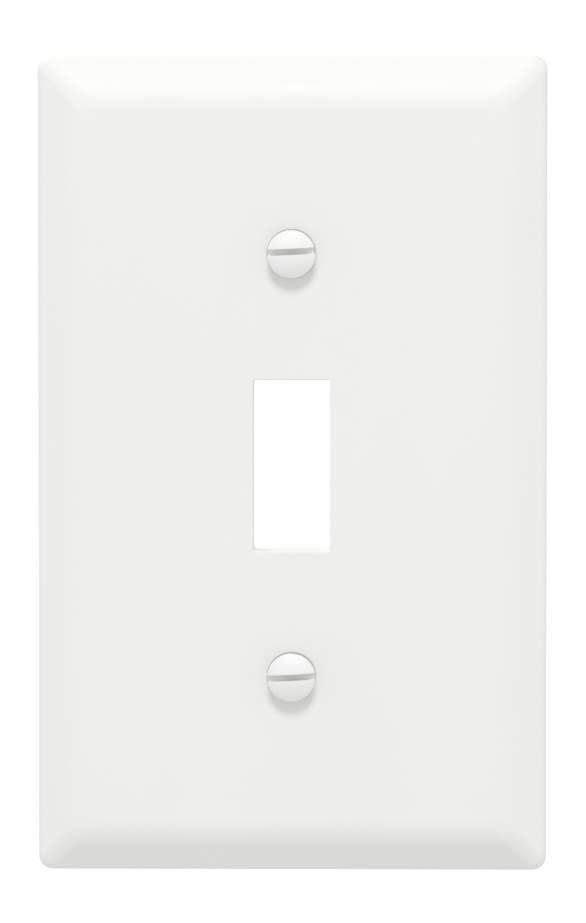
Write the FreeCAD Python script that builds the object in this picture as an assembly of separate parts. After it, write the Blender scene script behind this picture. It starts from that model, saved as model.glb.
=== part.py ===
"""A single-gang toggle-switch wall plate: one moulding, two captive screws and their retaining washers.

Units are millimetres. The origin is on the wall plane, at the middle of the plate's back.
+X is to the right as the plate is seen from the room, +Z is up, and the room is on the -Y side.
"""

import FreeCAD, Part
import math
import os

V = FreeCAD.Vector

# Moulding: outline and edge profile
PLATE_W = 72.85
PLATE_H = 116.7
PLATE_DEPTH = 5.6
PLAN_CORNER_R = 2.0
BEVEL_ANGLE = math.radians(35.0)
CROWN_RUN = 4.0
SLOPE_RUN = 2.83
EDGE_R = 2.0
SIDE_DRAFT = 0.06

# Moulding: hollow back
WALL_T = 2.0
RIM_T = 1.8
INNER_CORNER_R = 1.2
PAD_LEVEL = 2.2  # rear faces of the bosses, the collar and the spine
SPINE_T = 1.0
SPINE_LENGTH = 99.5
SPINE_END_R = 0.45

# Toggle opening: its size at its skirt's end; from there it widens towards the room
OPENING_W = 10.8
OPENING_H = 24.0
OPENING_SIDE_DRAFT = math.radians(1.0)
OPENING_END_DRAFT = math.radians(2.5)  # room for the lever's swing
OPENING_CORNER_R = 0.25
OPENING_LIP_R = 0.2
COLLAR_T = 1.5
SKIRT_T = 0.9
SKIRT_LEVEL = 0.8  # the skirt round the opening runs on past the collar, almost to the wall

# Screw stations
SCREW_SPACING = 60.325
SINK_D = 7.14
SINK_ANGLE = math.radians(82.0)
SCREW_HOLE_D = 4.0
BOSS_D = 10.0

# Screw: No. 6-32 slotted oval head, drawn with its head rim standing proud of the face
HEAD_D = 6.9
HEAD_LAND = 0.12
DOME_H = 1.15
SCREW_LEN = 15.875
NECK_D = 2.9
THREAD_D = 3.505
TIP_CHAMFER = 0.6
SLOT_W = 0.9
SLOT_DEPTH = 1.7
HEAD_PROUD = 1.7
UPPER_SLOT_TILT = 2.8
LOWER_SLOT_TILT = 3.0
UPPER_SLOT_OFFSET = 0.38  # the slots aren't cut quite through the screws' axes
LOWER_SLOT_OFFSET = 0.05

# Retaining washer, loose on the screw's neck behind the boss
WASHER_D = 7.6
WASHER_T = 0.6
WASHER_BORE_D = 3.06
WASHER_GAP = 0.05
WASHER_CHAMFER = 0.08

EXTRA = 1.0  # how far a cutter runs past the face that it opens
ROOTED = 0.5  # how far the raised features of the back run into the wall behind them


def bevel_profile():
    """Inset and height of the outer bevel's key points, from the side wall's top to the flat face."""
    sin_a, cos_a = math.sin(BEVEL_ANGLE), math.cos(BEVEL_ANGLE)
    crown_r = CROWN_RUN / sin_a
    run = CROWN_RUN + SLOPE_RUN + EDGE_R * (1.0 - sin_a)
    edge_centre = V(SIDE_DRAFT + EDGE_R, 0.0, 0.0)
    slope_top = V(SIDE_DRAFT + run - CROWN_RUN, PLATE_DEPTH - crown_r * (1.0 - cos_a), 0.0)
    slope_foot = slope_top - V(SLOPE_RUN, SLOPE_RUN * math.tan(BEVEL_ANGLE), 0.0)
    edge_centre.y = slope_foot.y - EDGE_R * cos_a
    crown_centre = V(SIDE_DRAFT + run, PLATE_DEPTH - crown_r, 0.0)
    return {
        "edge_centre": edge_centre,
        "slope_foot": slope_foot,
        "slope_top": slope_top,
        "crown_centre": crown_centre,
        "crown_r": crown_r,
    }


def arc_points(centre, radius, start, end, count):
    """Points on an arc in (inset, height), with angles measured from straight up towards the outline."""
    points = []
    for i in range(count + 1):
        a = start + (end - start) * i / count
        points.append((centre.x - radius * math.sin(a), centre.y + radius * math.cos(a)))
    return points


def rounded_rectangle(width, height, radius, level):
    """A closed wire around the Y axis, at this height above the wall."""
    x, z = width / 2.0, height / 2.0
    c = radius * (1.0 - math.sqrt(0.5))
    corners = []
    for sx, sz in ((1, 1), (-1, 1), (-1, -1), (1, -1)):
        near_x = V(sx * x, -level, sz * (z - radius))
        middle = V(sx * (x - c), -level, sz * (z - c))
        near_z = V(sx * (x - radius), -level, sz * z)
        corners.append((near_x, middle, near_z) if sx * sz > 0 else (near_z, middle, near_x))
    edges = []
    for i, (start, middle, end) in enumerate(corners):
        edges.append(Part.Arc(start, middle, end).toShape())
        edges.append(Part.LineSegment(end, corners[(i + 1) % 4][0]).toShape())
    return Part.Wire(edges)


def inset_section(inset, level, radius):
    return rounded_rectangle(PLATE_W - 2 * inset, PLATE_H - 2 * inset, radius, level)


def stack(sections, radius, ruled):
    """A solid through outline sections given as (inset, height)."""
    wires = [inset_section(inset, level, radius) for inset, level in sections]
    return Part.makeLoft(wires, True, ruled)


def outer_form():
    """The moulding's outside as a solid block: side wall, edge radius, slope, crown."""
    p = bevel_profile()
    edge = arc_points(p["edge_centre"], EDGE_R, math.pi / 2, BEVEL_ANGLE, 4)
    crown = arc_points(p["crown_centre"], p["crown_r"], BEVEL_ANGLE, 0.0, 6)
    side = stack([(0.0, 0.0), edge[0]], PLAN_CORNER_R, True)
    rounded_edge = stack(edge, PLAN_CORNER_R, False)
    slope = stack([edge[-1], crown[0]], PLAN_CORNER_R, True)
    top = stack(crown, PLAN_CORNER_R, False)
    return side.fuse([rounded_edge, slope, top])


def hollow():
    """The space inside the back, a wall's thickness below the outside."""
    p = bevel_profile()
    inner_r = p["crown_r"] - WALL_T
    crown = arc_points(p["crown_centre"], inner_r, BEVEL_ANGLE, 0.0, 5)
    foot = (RIM_T, crown[0][1] - (crown[0][0] - RIM_T) * math.tan(BEVEL_ANGLE))
    mouth = stack([(RIM_T - SIDE_DRAFT, 0.0), foot], INNER_CORNER_R, True)
    slope = stack([foot, crown[0]], INNER_CORNER_R, True)
    ceiling = stack(crown, INNER_CORNER_R, False)
    return mouth.fuse([slope, ceiling])


def block(width, height, low, high, radius):
    """A prism about the Y axis from one height above the wall to another, with plan corners rounded."""
    wire = rounded_rectangle(width, height, radius, low)
    return Part.Face(wire).extrude(V(0, low - high, 0))


def screw_stations():
    return (SCREW_SPACING / 2, -SCREW_SPACING / 2)


def root_level():
    """Height at which the raised features of the back end, inside the wall behind them."""
    return PLATE_DEPTH - WALL_T + ROOTED


def boss(z):
    return Part.makeCylinder(BOSS_D / 2, root_level() - PAD_LEVEL, V(0, -PAD_LEVEL, z), V(0, -1, 0))


def screw_bore(z):
    """The countersink and the clearance hole of one screw."""
    half = SINK_ANGLE / 2
    depth = (SINK_D - SCREW_HOLE_D) / 2 / math.tan(half)
    mouth_r = SINK_D / 2 + EXTRA * math.tan(half)
    sink = Part.makeCone(
        mouth_r, SCREW_HOLE_D / 2, depth + EXTRA, V(0, -PLATE_DEPTH - EXTRA, z), V(0, 1, 0)
    )
    hole = Part.makeCylinder(SCREW_HOLE_D / 2, PLATE_DEPTH + EXTRA, V(0, EXTRA, z), V(0, -1, 0))
    return sink.fuse(hole)


def spine():
    """A rib down the middle of the back that ties both bosses to the collar."""
    return block(SPINE_T, SPINE_LENGTH, PAD_LEVEL, root_level(), SPINE_END_R)


def border(thickness, level):
    """A solid block behind the toggle opening, this much larger all round, down to this height."""
    width, height = OPENING_W + 2 * thickness, OPENING_H + 2 * thickness
    return block(width, height, level, root_level(), OPENING_CORNER_R + thickness)


def toggle_window():
    """The cutter of the toggle opening, with drafted walls."""
    wires = []
    for level in (0.0, PLATE_DEPTH):
        width = OPENING_W + 2 * (level - SKIRT_LEVEL) * math.tan(OPENING_SIDE_DRAFT)
        height = OPENING_H + 2 * (level - SKIRT_LEVEL) * math.tan(OPENING_END_DRAFT)
        wires.append(rounded_rectangle(width, height, OPENING_CORNER_R, level))
    return Part.makeLoft(wires, True, True)


def opening_lip(body):
    """Round the front edge of the toggle opening."""
    near = 0.01
    chosen = []
    for edge in body.Edges:
        box = edge.BoundBox
        on_face = abs(box.YMin + PLATE_DEPTH) < near and abs(box.YMax + PLATE_DEPTH) < near
        in_width = max(abs(box.XMin), abs(box.XMax)) < OPENING_W
        in_height = max(abs(box.ZMin), abs(box.ZMax)) < OPENING_H
        if on_face and in_width and in_height:
            chosen.append(edge)
    return body.makeFillet(OPENING_LIP_R, chosen)


def wall_plate():
    shell = outer_form().cut(hollow())
    collar, skirt = border(COLLAR_T, PAD_LEVEL), border(SKIRT_T, SKIRT_LEVEL)
    body = shell.fuse([collar, skirt, spine()] + [boss(z) for z in screw_stations()])
    body = body.cut([toggle_window()] + [screw_bore(z) for z in screw_stations()])
    body = body.removeSplitter()
    return opening_lip(body)


def screw(z, slot_tilt, slot_offset):
    """One screw, turned from its half section, then slotted."""
    rim_y = -PLATE_DEPTH - HEAD_PROUD
    head_r, neck_r, thread_r = HEAD_D / 2, NECK_D / 2, THREAD_D / 2
    cone_top = rim_y + HEAD_LAND
    cone_end = cone_top + (head_r - neck_r) / math.tan(SINK_ANGLE / 2)
    thread_start = -PAD_LEVEL + 2 * WASHER_GAP + WASHER_T
    tip_y = rim_y + SCREW_LEN
    dome_r = (head_r**2 + DOME_H**2) / (2 * DOME_H)
    crown = V(0, rim_y - DOME_H, z)
    shoulder_a = math.asin(head_r / dome_r) / 2
    mid = V(dome_r * math.sin(shoulder_a), crown.y + dome_r * (1 - math.cos(shoulder_a)), z)
    outline = [
        V(head_r, rim_y, z),
        V(head_r, cone_top, z),
        V(neck_r, cone_end, z),
        V(neck_r, thread_start, z),
        V(thread_r, thread_start + (thread_r - neck_r), z),
        V(thread_r, tip_y - TIP_CHAMFER, z),
        V(thread_r - TIP_CHAMFER, tip_y, z),
        V(0, tip_y, z),
    ]
    edges = [Part.Arc(crown, mid, outline[0]).toShape()]
    for start, end in zip(outline, outline[1:] + [crown]):
        edges.append(Part.LineSegment(start, end).toShape())
    body = Part.Face(Part.Wire(edges)).revolve(V(0, 0, z), V(0, 1, 0), 360)
    slot = Part.makeBox(HEAD_D + 2 * EXTRA, SLOT_DEPTH + EXTRA, SLOT_W)
    slot.translate(V(-HEAD_D / 2 - EXTRA, crown.y - EXTRA, z + slot_offset - SLOT_W / 2))
    slot.rotate(V(0, 0, z), V(0, 1, 0), -slot_tilt)
    return body.cut(slot)


def washer(z):
    """A thin ring, just clear of the boss's rear face."""
    front = -PAD_LEVEL + WASHER_GAP
    disc = Part.makeCylinder(WASHER_D / 2, WASHER_T, V(0, front, z), V(0, 1, 0))
    disc = disc.makeChamfer(WASHER_CHAMFER, [e for e in disc.Edges if isinstance(e.Curve, Part.Circle)])
    bore = Part.makeCylinder(WASHER_BORE_D / 2, WASHER_T + 2 * EXTRA, V(0, front - EXTRA, z), V(0, 1, 0))
    return disc.cut(bore)


def main():
    os.makedirs("parts", exist_ok=True)
    upper, lower = screw_stations()
    shapes = {
        "wall_plate": wall_plate(),
        "upper_screw": screw(upper, UPPER_SLOT_TILT, UPPER_SLOT_OFFSET),
        "lower_screw": screw(lower, LOWER_SLOT_TILT, LOWER_SLOT_OFFSET),
        "upper_retaining_washer": washer(upper),
        "lower_retaining_washer": washer(lower),
    }
    for name, shape in shapes.items():
        box = shape.BoundBox
        low = [round(v, 3) for v in (box.XMin, box.YMin, box.ZMin)]
        high = [round(v, 3) for v in (box.XMax, box.YMax, box.ZMax)]
        print(name, "solids", len(shape.Solids), "valid", shape.isValid(), "box", low, high)
        shape.exportStep("parts/" + name + ".step")


main()
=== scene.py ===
"""A white toggle-switch wall plate with two captive slotted screws, in a plain white studio.

Everything is placed in metres in the part's own frame: the wall plane is Y = 0, the face looks
along -Y and +Z is up. Meshes are drawn in millimetres, as the sizes below are, and scaled once.
"""

import bmesh
import bpy
import math
from mathutils import Matrix, Vector


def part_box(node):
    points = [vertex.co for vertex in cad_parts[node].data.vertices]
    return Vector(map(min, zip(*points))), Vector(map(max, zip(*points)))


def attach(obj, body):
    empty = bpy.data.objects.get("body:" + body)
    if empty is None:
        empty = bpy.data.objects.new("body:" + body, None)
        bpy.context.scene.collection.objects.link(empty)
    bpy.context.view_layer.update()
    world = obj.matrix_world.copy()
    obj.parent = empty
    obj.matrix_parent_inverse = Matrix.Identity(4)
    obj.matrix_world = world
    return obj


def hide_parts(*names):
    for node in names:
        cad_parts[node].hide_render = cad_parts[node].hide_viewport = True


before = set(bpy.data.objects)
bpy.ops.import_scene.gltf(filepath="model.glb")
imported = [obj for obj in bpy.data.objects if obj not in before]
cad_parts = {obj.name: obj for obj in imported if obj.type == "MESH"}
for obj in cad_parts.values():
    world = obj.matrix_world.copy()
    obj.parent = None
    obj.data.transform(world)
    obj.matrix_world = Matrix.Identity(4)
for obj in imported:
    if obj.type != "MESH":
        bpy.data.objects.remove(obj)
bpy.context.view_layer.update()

MM = 0.001

# Moulding, in millimetres: bevel profile and back
BEVEL_ANGLE = math.radians(35.0)
CROWN_RUN = 4.0
SLOPE_RUN = 2.83
EDGE_R = 2.0
SIDE_DRAFT = 0.06
PLAN_CORNER_R = 2.0
WALL_T = 2.0
RIM_T = 1.8
INNER_CORNER_R = 1.2
PAD_LEVEL = 2.2  # height above the wall of the bosses', collar's and rib's rear faces
SOFT_EDGE = 0.12  # round on every moulded edge that has none of its own
BASE_FILLET = 0.25  # where the rib, bosses and collar rise from the back

# Moulding, in millimetres: openings and back details
OPENING_W = 10.8
OPENING_H = 24.0
OPENING_SIDE_DRAFT = math.radians(1.0)
OPENING_END_DRAFT = math.radians(2.5)
OPENING_CORNER_R = 0.25
OPENING_LIP_R = 0.2
COLLAR_T = 1.5
SKIRT_T = 0.9
SKIRT_LEVEL = 0.8
SINK_D = 7.14
SINK_ANGLE = math.radians(82.0)
SINK_EDGE_R = 0.08
SINK_FOOT = 0.03  # chamfer where a countersink meets its hole
SCREW_HOLE_D = 4.0
BOSS_D = 10.0
RIB_T = 1.0
RIB_END = 49.75
RIB_FILLET = 0.5
EJECTOR_R = 2.4
EJECTOR_DRAFT = 0.04  # by how much a mark is smaller at its bottom
EJECTOR_DEPTH = 0.07
EJECTOR_X = 20.5
EJECTOR_Z = (15.0, 43.5)

# Screws, in millimetres
HEAD_D = 6.9
HEAD_LAND = 0.12
HEAD_EDGE_R = 0.2
HEAD_UNDER_R = 0.02
DOME_H = 1.15
SCREW_LEN = 15.875
NECK_D = 2.9
NECK_BLEND = 0.05  # chamfer where the head meets the neck
NECK_START = 0.08  # from the head's cone to the straight neck
THREAD_D = 3.505
THREAD_PITCH = 25.4 / 32.0
THREAD_DEPTH = 0.541 * THREAD_PITCH
THREAD_GAP = 0.05  # from the washer to the thread
CREST_HALF = 1.0 / 16  # half of the crest's flat, in pitches
ROOT_HALF = 1.0 / 8
TIP_CHAMFER = 0.6
TIP_DISH = 0.08
SLOT_W = 0.9
SLOT_DEPTH = 1.7
SLOT_PAINT = 0.2  # enamel that pools on the slot's floor
SLOT_EDGE = 0.06
SLOT_REACH = 0.6  # how far past the slot's floor its cuts split the head
SLOT_TILT = {"upper_screw": math.radians(2.8), "lower_screw": math.radians(3.0)}
SLOT_OFFSET = {"upper_screw": 0.38, "lower_screw": 0.05}  # above the screw's axis

# Washers, in millimetres
WASHER_BORE_D = 3.06
WASHER_EDGE_R = 0.14

# Camera
VIEW_AZIMUTH = math.radians(1.35)
VIEW_ELEVATION = math.radians(3.2)
VIEW_DISTANCE = 1.1
VIEW_TARGET = Vector((0.00009, 0.0, 0.00029))
FRAME_HEIGHT = 0.13215  # what the frame's long side spans at the target
SENSOR = 36.0  # millimetres
CLIP_START, CLIP_END = 0.1, 100.0

# Light
SEEN_WHITE = 1.1  # what the camera sees behind the part
FRONT_LIGHT = (0.79, 0.645)  # at its lowest and highest
BEHIND_LIGHT = (0.85, 0.65)
SIDE_GAIN = 0.35  # how much stronger the light is at the far left and right
BEHIND_BLEND = 0.2  # the direction's Y at which the light from behind has taken over
KEY_ANGLE = math.radians(50.0)  # above the plate's axis
KEY_SIZE = (0.75, 0.72)
KEY_WATTS = 23.8
BACK_DIRECTION = (-0.45, 0.6, 0.66)
BACK_SIZE = (0.5, 0.5)
BACK_WATTS = 12.0
SOFTBOX_DISTANCE = 2.4

# Light table
TABLE_REACH = 30.0
TABLE_LEVEL = -0.4
TABLE_WHITE = 0.9
TABLE_ROUGHNESS = 0.9
TABLE_GLOW = 0.6

# Fineness of the meshes
CORNER_STEPS = 14
ROUND_STEPS = 4
EDGE_STEPS = 16
CROWN_STEPS = 26
HOLLOW_STEPS = 16
OPENING_STEPS = 8
RIB_STEPS = 6
BOSS_STEPS = 60
COLLAR_STEPS = 10
CIRCLE_STEPS = 96
EJECTOR_STEPS = 48
SCREW_STEPS = 72
DOME_STEPS = 30
HEAD_EDGE_STEPS = 6
CONE_STEPS = 6
SLOT_EDGE_STEPS = 2
WASHER_STEPS = 5
THREAD_STEP = THREAD_PITCH / 13
MITRE_LIMIT = 0.4  # the least cosine that an offset corner is stretched by
SAME_POINT = 1e-6
NEAR = 1e-4  # how close to a cutting plane counts as on it
ON_EDGE = 5 * NEAR
PLATE_SHARP = math.radians(32.0)
SCREW_SHARP = math.radians(50.0)


class Skin:
    """A closed mesh made of loops of points, joined by strips and filled where it is flat."""

    def __init__(self):
        self.bm = bmesh.new()

    def loop(self, points):
        return [self.bm.verts.new(p) for p in points]

    def strip(self, a, b, material=0):
        for i in range(len(a)):
            j = (i + 1) % len(a)
            face = self.bm.faces.new((a[i], a[j], b[j], b[i]))
            face.material_index = material

    def strips(self, loops, material=0):
        for a, b in zip(loops, loops[1:]):
            self.strip(a, b, material)

    def cap(self, ring, point, material=0):
        tip = self.bm.verts.new(point)
        for i in range(len(ring)):
            face = self.bm.faces.new((ring[i], ring[(i + 1) % len(ring)], tip))
            face.material_index = material

    def fill(self, loops):
        """Triangles over the flat region that the first loop encloses, less the other loops."""
        edges = []
        for ring in loops:
            for i in range(len(ring)):
                pair = (ring[i], ring[(i + 1) % len(ring)])
                edges.append(self.bm.edges.get(pair) or self.bm.edges.new(pair))
        bmesh.ops.triangle_fill(self.bm, edges=edges, use_beauty=True)

    def make(self, name, materials, sharp=PLATE_SHARP):
        """The finished object, scaled to metres, with smooth shading broken at sharp edges."""
        bmesh.ops.recalc_face_normals(self.bm, faces=self.bm.faces)
        self.bm.transform(Matrix.Scale(MM, 4))
        for face in self.bm.faces:
            face.smooth = True
        mesh = bpy.data.meshes.new(name)
        self.bm.to_mesh(mesh)
        self.bm.free()
        mesh.set_sharp_from_angle(angle=sharp)
        for material in materials:
            mesh.materials.append(material)
        piece = bpy.data.objects.new(name, mesh)
        bpy.context.scene.collection.objects.link(piece)
        weighted = piece.modifiers.new("face_weighted_normals", "WEIGHTED_NORMAL")
        weighted.keep_sharp = True
        return piece


def arc(centre, radius, start, end, steps):
    """Points on an arc, with angles in radians from the first axis towards the second."""
    points = []
    for i in range(steps + 1):
        a = start + (end - start) * i / steps
        points.append((centre[0] + radius * math.cos(a), centre[1] + radius * math.sin(a)))
    return points


def rounded_outline(half_w, half_h, radius, steps=CORNER_STEPS):
    """A rounded rectangle in (x, z), counter-clockwise from its right side."""
    points = []
    for quarter, (sx, sz) in enumerate(((1, 1), (-1, 1), (-1, -1), (1, -1))):
        centre = (sx * (half_w - radius), sz * (half_h - radius))
        start = quarter * math.pi / 2
        points += arc(centre, radius, start, start + math.pi / 2, steps)
    return points


def circle_outline(radius, centre_z, centre_x=0.0, steps=CIRCLE_STEPS):
    return arc((centre_x, centre_z), radius, 0.0, 2 * math.pi, steps)[:-1]


def at_level(outline, level):
    """The outline's points at a height above the wall."""
    return [(x, -level, z) for x, z in outline]


def offset_outline(outline, distance):
    """The outline moved outwards, or inwards if negative, corner by corner."""
    moved = []
    count = len(outline)
    for i in range(count):
        before = Vector(outline[i]) - Vector(outline[i - 1])
        after = Vector(outline[(i + 1) % count]) - Vector(outline[i])
        n1 = Vector((before.y, -before.x)).normalized()
        n2 = Vector((after.y, -after.x)).normalized()
        middle = (n1 + n2).normalized()
        reach = distance / max(middle.dot(n1), MITRE_LIMIT)
        moved.append((outline[i][0] + middle.x * reach, outline[i][1] + middle.y * reach))
    return moved


def round_edge(radius, steps=ROUND_STEPS):
    """(retreat, drop) pairs of a quarter round, from the flat to the wall."""
    pairs = []
    for i in range(steps + 1):
        a = math.pi / 2 * i / steps
        pairs.append((radius * (1 - math.sin(a)), radius * (1 - math.cos(a))))
    return pairs


def plate_size():
    """The plate's width, height and depth in millimetres."""
    low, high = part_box("wall_plate")
    size = (high - low) / MM
    return size.x, size.z, size.y


def bevel_sections():
    """(inset, height) of the outside, from the rim's back to the face, and the crown's circle."""
    depth = plate_size()[2]
    sin_a, cos_a = math.sin(BEVEL_ANGLE), math.cos(BEVEL_ANGLE)
    crown_r = CROWN_RUN / sin_a
    run = SIDE_DRAFT + CROWN_RUN + SLOPE_RUN + EDGE_R * (1 - sin_a)
    crown_centre = (run, depth - crown_r)
    slope_top_h = depth - crown_r * (1 - cos_a)
    slope_foot_h = slope_top_h - SLOPE_RUN * math.tan(BEVEL_ANGLE)
    edge_centre = (SIDE_DRAFT + EDGE_R, slope_foot_h - EDGE_R * cos_a)
    up = math.pi / 2
    rim = round_edge(SOFT_EDGE)
    edge = arc(edge_centre, EDGE_R, math.pi, up + BEVEL_ANGLE, EDGE_STEPS)
    crown = arc(crown_centre, crown_r, up + BEVEL_ANGLE, up, CROWN_STEPS)
    return rim + edge + crown, crown_centre, crown_r


def hollow_sections():
    """(inset, height) of the hollow back, from the rim's back to the flat ceiling."""
    _, crown_centre, crown_r = bevel_sections()
    up = math.pi / 2
    crown = arc(crown_centre, crown_r - WALL_T, up + BEVEL_ANGLE, up, HOLLOW_STEPS)
    foot = crown[0][1] - (crown[0][0] - RIM_T) * math.tan(BEVEL_ANGLE)
    rim = [(RIM_T - inset, drop) for inset, drop in round_edge(SOFT_EDGE)]
    return rim + [(RIM_T, foot)] + crown


def island_outline():
    """The raised outline on the back: a rib through both bosses and the opening's collar."""
    half_rib = RIB_T / 2
    boss_r = BOSS_D / 2
    boss_z = axis_z("upper_screw")
    collar_x = OPENING_W / 2 + COLLAR_T
    collar_z = OPENING_H / 2 + COLLAR_T
    collar_r = OPENING_CORNER_R + COLLAR_T
    blend_x = half_rib + RIB_FILLET
    blend_dz = math.sqrt((boss_r + RIB_FILLET) ** 2 - blend_x**2)
    lean = math.atan2(blend_dz, blend_x)
    half = math.pi / 2
    above_boss = (blend_x, boss_z + blend_dz)
    below_boss = (blend_x, boss_z - blend_dz)
    over_collar = (blend_x, collar_z + RIB_FILLET)
    top_end = arc((0.0, RIB_END - half_rib), half_rib, half, 0.0, RIB_STEPS)
    above = arc(above_boss, RIB_FILLET, math.pi, math.pi + lean, RIB_STEPS)
    around = arc((0.0, boss_z), boss_r, lean, -lean, BOSS_STEPS)[1:-1]
    below = arc(below_boss, RIB_FILLET, math.pi - lean, math.pi, RIB_STEPS)
    into_collar = arc(over_collar, RIB_FILLET, math.pi, 3 * half, RIB_STEPS)
    collar_corner = (collar_x - collar_r, collar_z - collar_r)
    corner = arc(collar_corner, collar_r, half, 0.0, COLLAR_STEPS)
    quarter = top_end + above + around + below + into_collar + corner
    right = quarter + [(x, -z) for x, z in reversed(quarter)]
    left = [(-x, z) for x, z in reversed(right)]
    loop = right + left
    clean = [p for i, p in enumerate(loop) if math.dist(p, loop[i - 1]) > SAME_POINT]
    return list(reversed(clean))


def axis_z(name):
    """The height of a screw's or washer's axis in millimetres."""
    low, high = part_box(name)
    return (low.z + high.z) / 2 / MM


def stack(skin, sections, radius):
    """Loops of rounded rectangles at (inset, height) sections of the plate's outline."""
    width, height, _ = plate_size()
    loops = []
    for inset, level in sections:
        outline = rounded_outline(width / 2 - inset, height / 2 - inset, radius)
        loops.append(skin.loop(at_level(outline, level)))
    skin.strips(loops)
    return loops


def skirt_end():
    """(retreat, height) round the edge of the skirt's rear, from its wall to its flat."""
    edge = reversed(round_edge(SOFT_EDGE))
    return [(retreat, SKIRT_LEVEL + drop) for retreat, drop in edge]


def opening_loops(skin, depth):
    """The toggle opening from the face to the skirt's rear, with its front lip rounded."""
    loops = []
    lip = round_edge(OPENING_LIP_R, OPENING_STEPS)
    sections = [(retreat, depth - drop) for retreat, drop in lip]
    sections += skirt_end()
    for retreat, level in sections:
        rise = level - SKIRT_LEVEL
        half_w = OPENING_W / 2 + retreat + rise * math.tan(OPENING_SIDE_DRAFT)
        half_h = OPENING_H / 2 + retreat + rise * math.tan(OPENING_END_DRAFT)
        radius = OPENING_CORNER_R + retreat
        outline = rounded_outline(half_w, half_h, radius, OPENING_STEPS)
        loops.append(skin.loop(at_level(outline, level)))
    skin.strips(loops)
    return loops


def skirt_loops(skin):
    """The outside of the skirt, from the collar's rear to its own."""
    loops = []
    for inset, level in [(0.0, PAD_LEVEL)] + skirt_end():
        outset = SKIRT_T - inset
        half_w, half_h = OPENING_W / 2 + outset, OPENING_H / 2 + outset
        outline = rounded_outline(half_w, half_h, OPENING_CORNER_R + outset, OPENING_STEPS)
        loops.append(skin.loop(at_level(outline, level)))
    skin.strips(loops)
    return loops


def bore_loops(skin, z, depth):
    """A countersink and its clearance hole, from the face to the boss's rear."""
    half = SINK_ANGLE / 2
    sink_r, hole_r = SINK_D / 2, SCREW_HOLE_D / 2
    hole_level = depth - (sink_r - hole_r) / math.tan(half)
    turn = math.pi / 2 - half
    sections = []
    for i in range(ROUND_STEPS + 1):
        a = turn * i / ROUND_STEPS
        out = SINK_EDGE_R * (math.tan(turn / 2) - math.sin(a))
        sections.append((sink_r + out, depth - SINK_EDGE_R * (1 - math.cos(a))))
    sections += [(hole_r + SINK_FOOT, hole_level + SINK_FOOT), (hole_r, hole_level - SINK_FOOT)]
    sections += [(hole_r + i, PAD_LEVEL + d) for i, d in reversed(round_edge(SOFT_EDGE))]
    loops = [skin.loop(at_level(circle_outline(r, z), level)) for r, level in sections]
    skin.strips(loops)
    return loops


def ejector_mark(skin, x, z, ceiling):
    """A shallow round recess that an ejector pin leaves in the back."""
    rim = circle_outline(EJECTOR_R, z, x, EJECTOR_STEPS)
    bottom = circle_outline(EJECTOR_R - EJECTOR_DRAFT, z, x, EJECTOR_STEPS)
    outer = skin.loop(at_level(rim, ceiling))
    inner = skin.loop(at_level(bottom, ceiling + EJECTOR_DEPTH))
    skin.strip(outer, inner)
    skin.fill([inner])
    return outer


def wall_plate(plastic):
    """The moulding: bevelled front, rim, hollow back, and all that opens through it."""
    skin = Skin()
    depth = plate_size()[2]
    ceiling = depth - WALL_T
    outside = stack(skin, bevel_sections()[0], PLAN_CORNER_R)
    inside = stack(skin, hollow_sections(), INNER_CORNER_R)
    skin.strip(outside[0], inside[0])
    opening = opening_loops(skin, depth)
    bores = [bore_loops(skin, axis_z(n), depth) for n in ("upper_screw", "lower_screw")]
    skin.fill([outside[-1], opening[0]] + [bore[0] for bore in bores])
    outline = island_outline()
    island = []
    for retreat, drop in round_edge(BASE_FILLET):
        grown = offset_outline(outline, retreat)
        island.append(skin.loop(at_level(grown, ceiling - drop)))
    for retreat, drop in reversed(round_edge(SOFT_EDGE)):
        shrunk = offset_outline(outline, -retreat)
        island.append(skin.loop(at_level(shrunk, PAD_LEVEL + drop)))
    skin.strips(island)
    skirt = skirt_loops(skin)
    skin.fill([island[-1], skirt[0]] + [bore[-1] for bore in bores])
    skin.fill([skirt[-1], opening[-1]])
    marks = []
    for sx in (-1, 1):
        for z in EJECTOR_Z:
            for sz in (-1, 1):
                marks.append(ejector_mark(skin, sx * EJECTOR_X, sz * z, ceiling))
    skin.fill([inside[-1], island[0]] + marks)
    piece = skin.make("wall_plate_moulding", [plastic])
    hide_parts("wall_plate")
    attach(piece, "plate")


def thread_radius(y, angle):
    """Radius of a right-hand 60 degree thread at a depth along the axis and an angle about it."""
    turns = (y / THREAD_PITCH + angle / (2 * math.pi)) % 1.0
    from_crest = min(turns, 1.0 - turns)
    root = 0.5 - ROOT_HALF
    fall = min(max((from_crest - CREST_HALF) / (root - CREST_HALF), 0.0), 1.0)
    return THREAD_D / 2 - THREAD_DEPTH * fall


def turned_ring(skin, radius, y, z):
    """A loop of points round an axis that runs along Y at height z."""
    outline = circle_outline(radius, z, 0.0, SCREW_STEPS)
    return skin.loop([(x, y, height) for x, height in outline])


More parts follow.
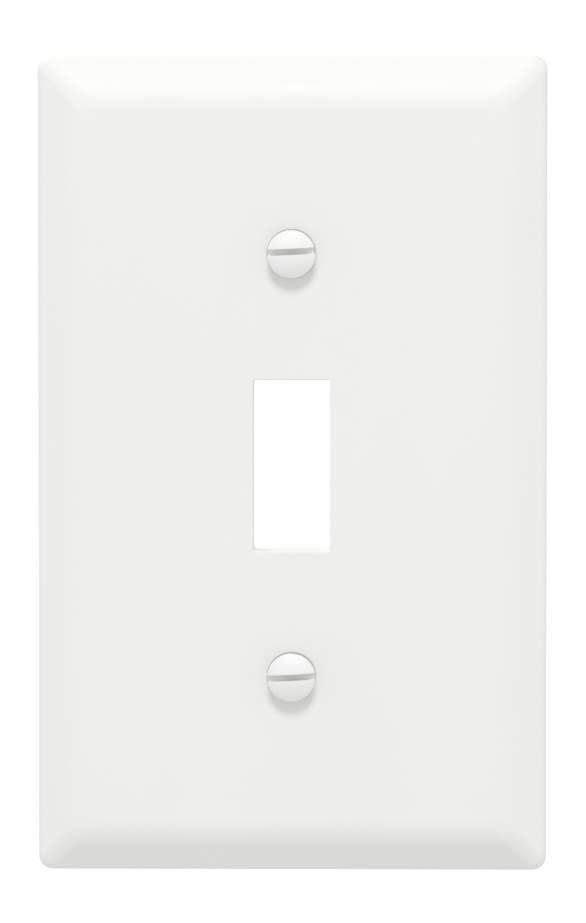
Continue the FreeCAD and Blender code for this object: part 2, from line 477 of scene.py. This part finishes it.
def head_sections(rim_y):
    """(radius, y) from just off the dome's top, round the edge and down the cone to the neck."""
    head_r, neck_r = HEAD_D / 2, NECK_D / 2
    dome_r = (head_r**2 + DOME_H**2) / (2 * DOME_H)
    crown_y = rim_y - DOME_H
    edge_x = head_r - HEAD_EDGE_R
    lean = math.asin(edge_x / (dome_r - HEAD_EDGE_R))
    edge_y = crown_y + dome_r - (dome_r - HEAD_EDGE_R) * math.cos(lean)
    sections = []
    for i in range(1, DOME_STEPS + 1):
        a = lean * i / DOME_STEPS
        sections.append((dome_r * math.sin(a), crown_y + dome_r * (1 - math.cos(a))))
    edge = arc((edge_x, edge_y), HEAD_EDGE_R, lean - math.pi / 2, 0.0, HEAD_EDGE_STEPS)
    sections += edge[1:] + [(head_r - HEAD_UNDER_R / 2, edge_y + HEAD_UNDER_R)]
    cone_y = rim_y + HEAD_LAND
    cone_end = cone_y + (head_r - neck_r) / math.tan(SINK_ANGLE / 2)
    for i in range(1, CONE_STEPS):
        share = i / CONE_STEPS
        radius = head_r + (neck_r - head_r) * share
        sections.append((radius, cone_y + (cone_end - cone_y) * share))
    sections.append((neck_r + NECK_BLEND, cone_end - NECK_BLEND))
    sections.append((neck_r, cone_end + NECK_START))
    return sections, crown_y


def cut_slot(bm, z, tilt, offset, floor_y):
    """Cut a straight slot across the head and line it with flat walls and a floor."""
    across = Vector((-math.sin(tilt), 0.0, math.cos(tilt)))
    centre = Vector((0.0, floor_y, z)) + across * offset
    half = SLOT_W / 2
    reach = floor_y + SLOT_REACH

    def height_over(point):
        return (point - centre).dot(across)

    def on_side(vert, side):
        return abs(height_over(vert.co) - side) < ON_EDGE

    def on_floor(vert):
        return abs(vert.co.y - floor_y) < ON_EDGE

    def head_geometry():
        faces = [f for f in bm.faces if all(v.co.y < reach for v in f.verts)]
        edges = {e for f in faces for e in f.edges}
        verts = {v for f in faces for v in f.verts}
        return faces + list(edges) + list(verts)

    def split(point, normal):
        bmesh.ops.bisect_plane(
            bm, geom=head_geometry(), dist=NEAR, plane_co=point, plane_no=normal
        )

    for side in (-half, half):
        split(centre + across * side, across)
    split(centre, Vector((0, 1, 0)))
    gone = []
    for f in bm.faces:
        c = f.calc_center_median()
        if abs(height_over(c)) < half and c.y < floor_y:
            gone.append(f)
    bmesh.ops.delete(bm, geom=gone, context="FACES")
    rims = [e for e in bm.edges if e.is_boundary]
    lips = []
    for side in (-half, half):
        wall = [e for e in rims if all(on_side(v, side) for v in e.verts)]
        foot = [v for e in wall for v in e.verts if on_floor(v)]
        wall_foot = bm.edges.new(list(dict.fromkeys(foot)))
        bmesh.ops.edgenet_fill(bm, edges=wall + [wall_foot])
        lips += wall
        rims.append(wall_foot)
    floor_rim = [e for e in rims if all(on_floor(v) for v in e.verts)]
    bmesh.ops.edgenet_fill(bm, edges=floor_rim)
    lips = [e for e in lips if e.is_valid]
    bmesh.ops.bevel(
        bm, geom=lips, offset=SLOT_EDGE, offset_type="OFFSET", segments=SLOT_EDGE_STEPS,
        profile=0.5, affect="EDGES", clamp_overlap=True,
    )


def screw(name, body, paint, zinc):
    """One oval-head screw: painted head with its slot, zinc-plated neck and thread."""
    skin = Skin()
    z = axis_z(name)
    tip_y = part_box(name)[1].y / MM
    washer_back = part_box(name.replace("screw", "retaining_washer"))[1].y / MM
    thread_start = washer_back + THREAD_GAP
    sections, crown_y = head_sections(tip_y - SCREW_LEN)
    head = [turned_ring(skin, r, y, z) for r, y in sections]
    skin.cap(head[0], (0.0, crown_y, z))
    skin.strips(head)
    neck = turned_ring(skin, NECK_D / 2, thread_start, z)
    skin.strip(head[-1], neck, 1)
    rows = [neck]
    count = round((tip_y - thread_start) / THREAD_STEP)
    for i in range(1, count + 1):
        y = thread_start + (tip_y - thread_start) * i / count
        lead_in = NECK_D / 2 + (y - thread_start)
        lead_out = THREAD_D / 2 - TIP_CHAMFER + (tip_y - y)
        points = []
        for k in range(SCREW_STEPS):
            a = 2 * math.pi * k / SCREW_STEPS
            r = min(thread_radius(y, -a), lead_in, lead_out)
            points.append((r * math.cos(a), y, z + r * math.sin(a)))
        rows.append(skin.loop(points))
    skin.strips(rows, 1)
    skin.cap(rows[-1], (0.0, tip_y - TIP_DISH, z), 1)
    floor_y = crown_y + SLOT_DEPTH - SLOT_PAINT
    cut_slot(skin.bm, z, SLOT_TILT[name], SLOT_OFFSET[name], floor_y)
    piece = skin.make(name + "_turned", [paint, zinc], SCREW_SHARP)
    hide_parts(name)
    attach(piece, body)


def washer(name, body, nylon):
    """A thin retaining washer with rounded edges."""
    skin = Skin()
    low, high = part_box(name)
    z = axis_z(name)
    front, back = low.y / MM, high.y / MM
    outer, bore = (high.x - low.x) / 2 / MM, WASHER_BORE_D / 2
    r = WASHER_EDGE_R
    half = math.pi / 2
    corners = (
        (outer - r, front + r), (outer - r, back - r), (bore + r, back - r), (bore + r, front + r)
    )
    section = []
    for quarter, centre in enumerate(corners):
        start = (quarter - 1) * half
        section += arc(centre, r, start, start + half, WASHER_STEPS)
    loops = [turned_ring(skin, radius, y, z) for radius, y in section]
    skin.strips(loops + [loops[0]])
    piece = skin.make(name + "_ring", [nylon])
    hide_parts(name)
    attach(piece, body)


class Finish:
    """A node material built around one Principled shader, in the piece's own coordinates."""

    def __init__(self, name):
        self.material = bpy.data.materials.new(name)
        self.material.use_nodes = True
        self.nodes = self.material.node_tree.nodes
        self.links = self.material.node_tree.links
        self.shader = self.nodes["Principled BSDF"]
        self.where = self.nodes.new("ShaderNodeTexCoord").outputs["Object"]

    def noise(self, size, detail=2.0, roughness=0.5, stretch=(1, 1, 1)):
        """Noise whose blobs are about this many metres across."""
        mapping = self.nodes.new("ShaderNodeMapping")
        mapping.inputs["Scale"].default_value = stretch
        self.links.new(self.where, mapping.inputs["Vector"])
        node = self.nodes.new("ShaderNodeTexNoise")
        node.inputs["Scale"].default_value = 1.0 / size
        node.inputs["Detail"].default_value = detail
        node.inputs["Roughness"].default_value = roughness
        self.links.new(mapping.outputs["Vector"], node.inputs["Vector"])
        return node.outputs["Fac"]

    def spread(self, value, low, high, start=0.3, end=0.7):
        """The value, spread over low to high."""
        node = self.nodes.new("ShaderNodeMapRange")
        node.inputs["From Min"].default_value = start
        node.inputs["From Max"].default_value = end
        node.inputs["To Min"].default_value = low
        node.inputs["To Max"].default_value = high
        self.links.new(value, node.inputs["Value"])
        return node.outputs["Result"]

    def blend(self, factor, first, second):
        """A colour between two colours."""
        node = self.nodes.new("ShaderNodeMix")
        node.data_type = "RGBA"
        self.links.new(factor, node.inputs["Factor"])
        node.inputs["A"].default_value = (*first, 1.0)
        node.inputs["B"].default_value = (*second, 1.0)
        return node.outputs["Result"]

    def relief(self, layers):
        """Bumps from (value, height in metres) layers, one after the other."""
        normal = None
        for value, height in layers:
            node = self.nodes.new("ShaderNodeBump")
            node.inputs["Strength"].default_value = 1.0
            node.inputs["Distance"].default_value = height
            self.links.new(value, node.inputs["Height"])
            if normal is not None:
                self.links.new(normal, node.inputs["Normal"])
            normal = node.outputs["Normal"]
        self.links.new(normal, self.shader.inputs["Normal"])

    def colour(self, value):
        self.links.new(value, self.shader.inputs["Base Color"])

    def roughness(self, value):
        self.links.new(value, self.shader.inputs["Roughness"])


def plate_plastic():
    """White moulded thermoplastic: soft gloss, faint orange peel and flow shading."""
    f = Finish("white_plate_plastic")
    flow = f.noise(0.03, 3.0, 0.55, (1.0, 1.0, 0.6))
    f.colour(f.blend(f.spread(flow, 0.0, 1.0), (0.818, 0.819, 0.808), (0.832, 0.833, 0.822)))
    f.roughness(f.spread(f.noise(0.004, 3.0), 0.46, 0.54))
    f.relief([(f.noise(0.0011, 2.0), 1.2e-6), (f.noise(0.00022, 1.0), 0.25e-6)])
    f.shader.inputs["IOR"].default_value = 1.49
    f.shader.inputs["Specular IOR Level"].default_value = 0.32
    return f.material


def screw_paint():
    """White enamel baked on the screw heads."""
    f = Finish("white_screw_enamel")
    pool = f.noise(0.0016, 2.0)
    f.colour(f.blend(f.spread(pool, 0.0, 1.0), (0.815, 0.815, 0.808), (0.835, 0.835, 0.830)))
    f.roughness(f.spread(f.noise(0.0007, 2.0), 0.42, 0.50))
    f.relief([(f.noise(0.0006, 2.0), 1.0e-6)])
    f.shader.inputs["IOR"].default_value = 1.5
    f.shader.inputs["Specular IOR Level"].default_value = 0.3
    return f.material


def zinc_plate():
    """Bright zinc on the shank, with a faint clear chromate tint."""
    f = Finish("bright_zinc")
    tint = f.noise(0.0025, 3.0, 0.6)
    f.colour(f.blend(f.spread(tint, 0.0, 1.0), (0.66, 0.68, 0.72), (0.76, 0.755, 0.72)))
    f.roughness(f.spread(f.noise(0.0005, 3.0), 0.24, 0.42))
    f.relief([(f.noise(0.0003, 3.0, 0.6), 2.0e-6)])
    f.shader.inputs["Metallic"].default_value = 1.0
    return f.material


def washer_nylon():
    """Natural nylon: creamy, matte, a little cloudy."""
    f = Finish("natural_nylon")
    cloud = f.noise(0.002, 3.0)
    f.colour(f.blend(f.spread(cloud, 0.0, 1.0), (0.66, 0.64, 0.56), (0.74, 0.72, 0.65)))
    f.roughness(f.spread(f.noise(0.0008, 2.0), 0.45, 0.6))
    f.relief([(f.noise(0.0004, 2.0), 3.0e-6)])
    f.shader.inputs["Subsurface Weight"].default_value = 0.15
    f.shader.inputs["Subsurface Radius"].default_value = (0.0008, 0.0007, 0.0005)
    f.shader.inputs["Subsurface Scale"].default_value = 1.0
    return f.material


def floor():
    """A plain white light table, well below the plate."""
    mesh = bpy.data.meshes.new("floor")
    signs = ((-1, -1), (1, -1), (1, 1), (-1, 1))
    corners = [(sx * TABLE_REACH, sy * TABLE_REACH, TABLE_LEVEL) for sx, sy in signs]
    mesh.from_pydata(corners, [], [(0, 1, 2, 3)])
    piece = bpy.data.objects.new("floor", mesh)
    bpy.context.scene.collection.objects.link(piece)
    material = bpy.data.materials.new("white_table")
    material.use_nodes = True
    shader = material.node_tree.nodes["Principled BSDF"]
    shader.inputs["Base Color"].default_value = (TABLE_WHITE, TABLE_WHITE, TABLE_WHITE, 1.0)
    shader.inputs["Roughness"].default_value = TABLE_ROUGHNESS
    shader.inputs["Emission Color"].default_value = (1.0, 1.0, 1.0, 1.0)
    shader.inputs["Emission Strength"].default_value = TABLE_GLOW
    mesh.materials.append(material)
    piece.visible_diffuse = False
    piece.visible_glossy = False
    piece.visible_shadow = False


def studio_world():
    """White light from all round: its level goes by front or behind, by height and by side."""
    world = bpy.data.worlds.new("studio")
    bpy.context.scene.world = world
    world.use_nodes = True
    nodes, links = world.node_tree.nodes, world.node_tree.links
    nodes.clear()
    seen = nodes.new("ShaderNodeBackground")
    seen.inputs["Strength"].default_value = SEEN_WHITE
    light = nodes.new("ShaderNodeBackground")
    for node in (seen, light):
        node.inputs["Color"].default_value = (1.0, 1.0, 1.0, 1.0)
    where = nodes.new("ShaderNodeTexCoord")
    split = nodes.new("ShaderNodeSeparateXYZ")
    links.new(where.outputs["Generated"], split.inputs["Vector"])
    level = nodes.new("ShaderNodeMix")
    for side, (low, high) in (("A", FRONT_LIGHT), ("B", BEHIND_LIGHT)):
        by_height = nodes.new("ShaderNodeMapRange")
        by_height.inputs["From Min"].default_value = -1.0
        by_height.inputs["To Min"].default_value = low
        by_height.inputs["To Max"].default_value = high
        links.new(split.outputs["Z"], by_height.inputs["Value"])
        links.new(by_height.outputs["Result"], level.inputs[side])
    share = nodes.new("ShaderNodeMapRange")
    share.inputs["From Max"].default_value = BEHIND_BLEND
    links.new(split.outputs["Y"], share.inputs["Value"])
    links.new(share.outputs["Result"], level.inputs["Factor"])

    def product(first, second):
        node = nodes.new("ShaderNodeMath")
        node.operation = "MULTIPLY"
        links.new(first, node.inputs[0])
        links.new(second, node.inputs[1])
        return node.outputs["Value"]

    gain = nodes.new("ShaderNodeMath")
    gain.operation = "MULTIPLY_ADD"
    gain.inputs[1].default_value = SIDE_GAIN
    gain.inputs[2].default_value = 1.0
    links.new(product(split.outputs["X"], split.outputs["X"]), gain.inputs[0])
    total = product(level.outputs["Result"], gain.outputs["Value"])
    links.new(total, light.inputs["Strength"])
    path = nodes.new("ShaderNodeLightPath")
    mix = nodes.new("ShaderNodeMixShader")
    out = nodes.new("ShaderNodeOutputWorld")
    links.new(path.outputs["Is Camera Ray"], mix.inputs["Fac"])
    links.new(light.outputs["Background"], mix.inputs[1])
    links.new(seen.outputs["Background"], mix.inputs[2])
    links.new(mix.outputs["Shader"], out.inputs["Surface"])


def softbox(name, direction, size, watts):
    """A rectangular area light that faces the plate and doesn't show itself."""
    data = bpy.data.lights.new(name, "AREA")
    data.shape = "RECTANGLE"
    data.size, data.size_y = size
    data.energy = watts
    lamp = bpy.data.objects.new(name, data)
    bpy.context.scene.collection.objects.link(lamp)
    towards = Vector(direction).normalized()
    lamp.location = towards * SOFTBOX_DISTANCE
    lamp.rotation_mode = "QUATERNION"
    lamp.rotation_quaternion = towards.to_track_quat("Z", "Y")
    lamp.visible_camera = False


def lights():
    """A softbox high over the face and one behind; the room's even light does the rest."""
    over_face = (0.0, -math.cos(KEY_ANGLE), math.sin(KEY_ANGLE))
    softbox("key", over_face, KEY_SIZE, KEY_WATTS)
    softbox("back_key", BACK_DIRECTION, BACK_SIZE, BACK_WATTS)


def camera():
    """A long lens, a little above level and a little to the right."""
    data = bpy.data.cameras.new("camera")
    data.sensor_width = SENSOR
    data.lens = SENSOR * VIEW_DISTANCE / FRAME_HEIGHT
    data.clip_start, data.clip_end = CLIP_START, CLIP_END
    view = bpy.data.objects.new("camera", data)
    bpy.context.scene.collection.objects.link(view)
    flat = math.cos(VIEW_ELEVATION)
    back_x, back_y = math.sin(VIEW_AZIMUTH) * flat, -math.cos(VIEW_AZIMUTH) * flat
    back = Vector((back_x, back_y, math.sin(VIEW_ELEVATION)))
    view.location = VIEW_TARGET + back * VIEW_DISTANCE
    view.rotation_mode = "QUATERNION"
    view.rotation_quaternion = (-back).to_track_quat("-Z", "Y")
    bpy.context.scene.camera = view


def build():
    paint, zinc, nylon = screw_paint(), zinc_plate(), washer_nylon()
    wall_plate(plate_plastic())
    for side in ("upper", "lower"):
        screw(side + "_screw", side + "_screw", paint, zinc)
        washer(side + "_retaining_washer", side + "_washer", nylon)
    floor()
    studio_world()
    lights()
    camera()
    bpy.context.scene.view_settings.view_transform = "Standard"


build()
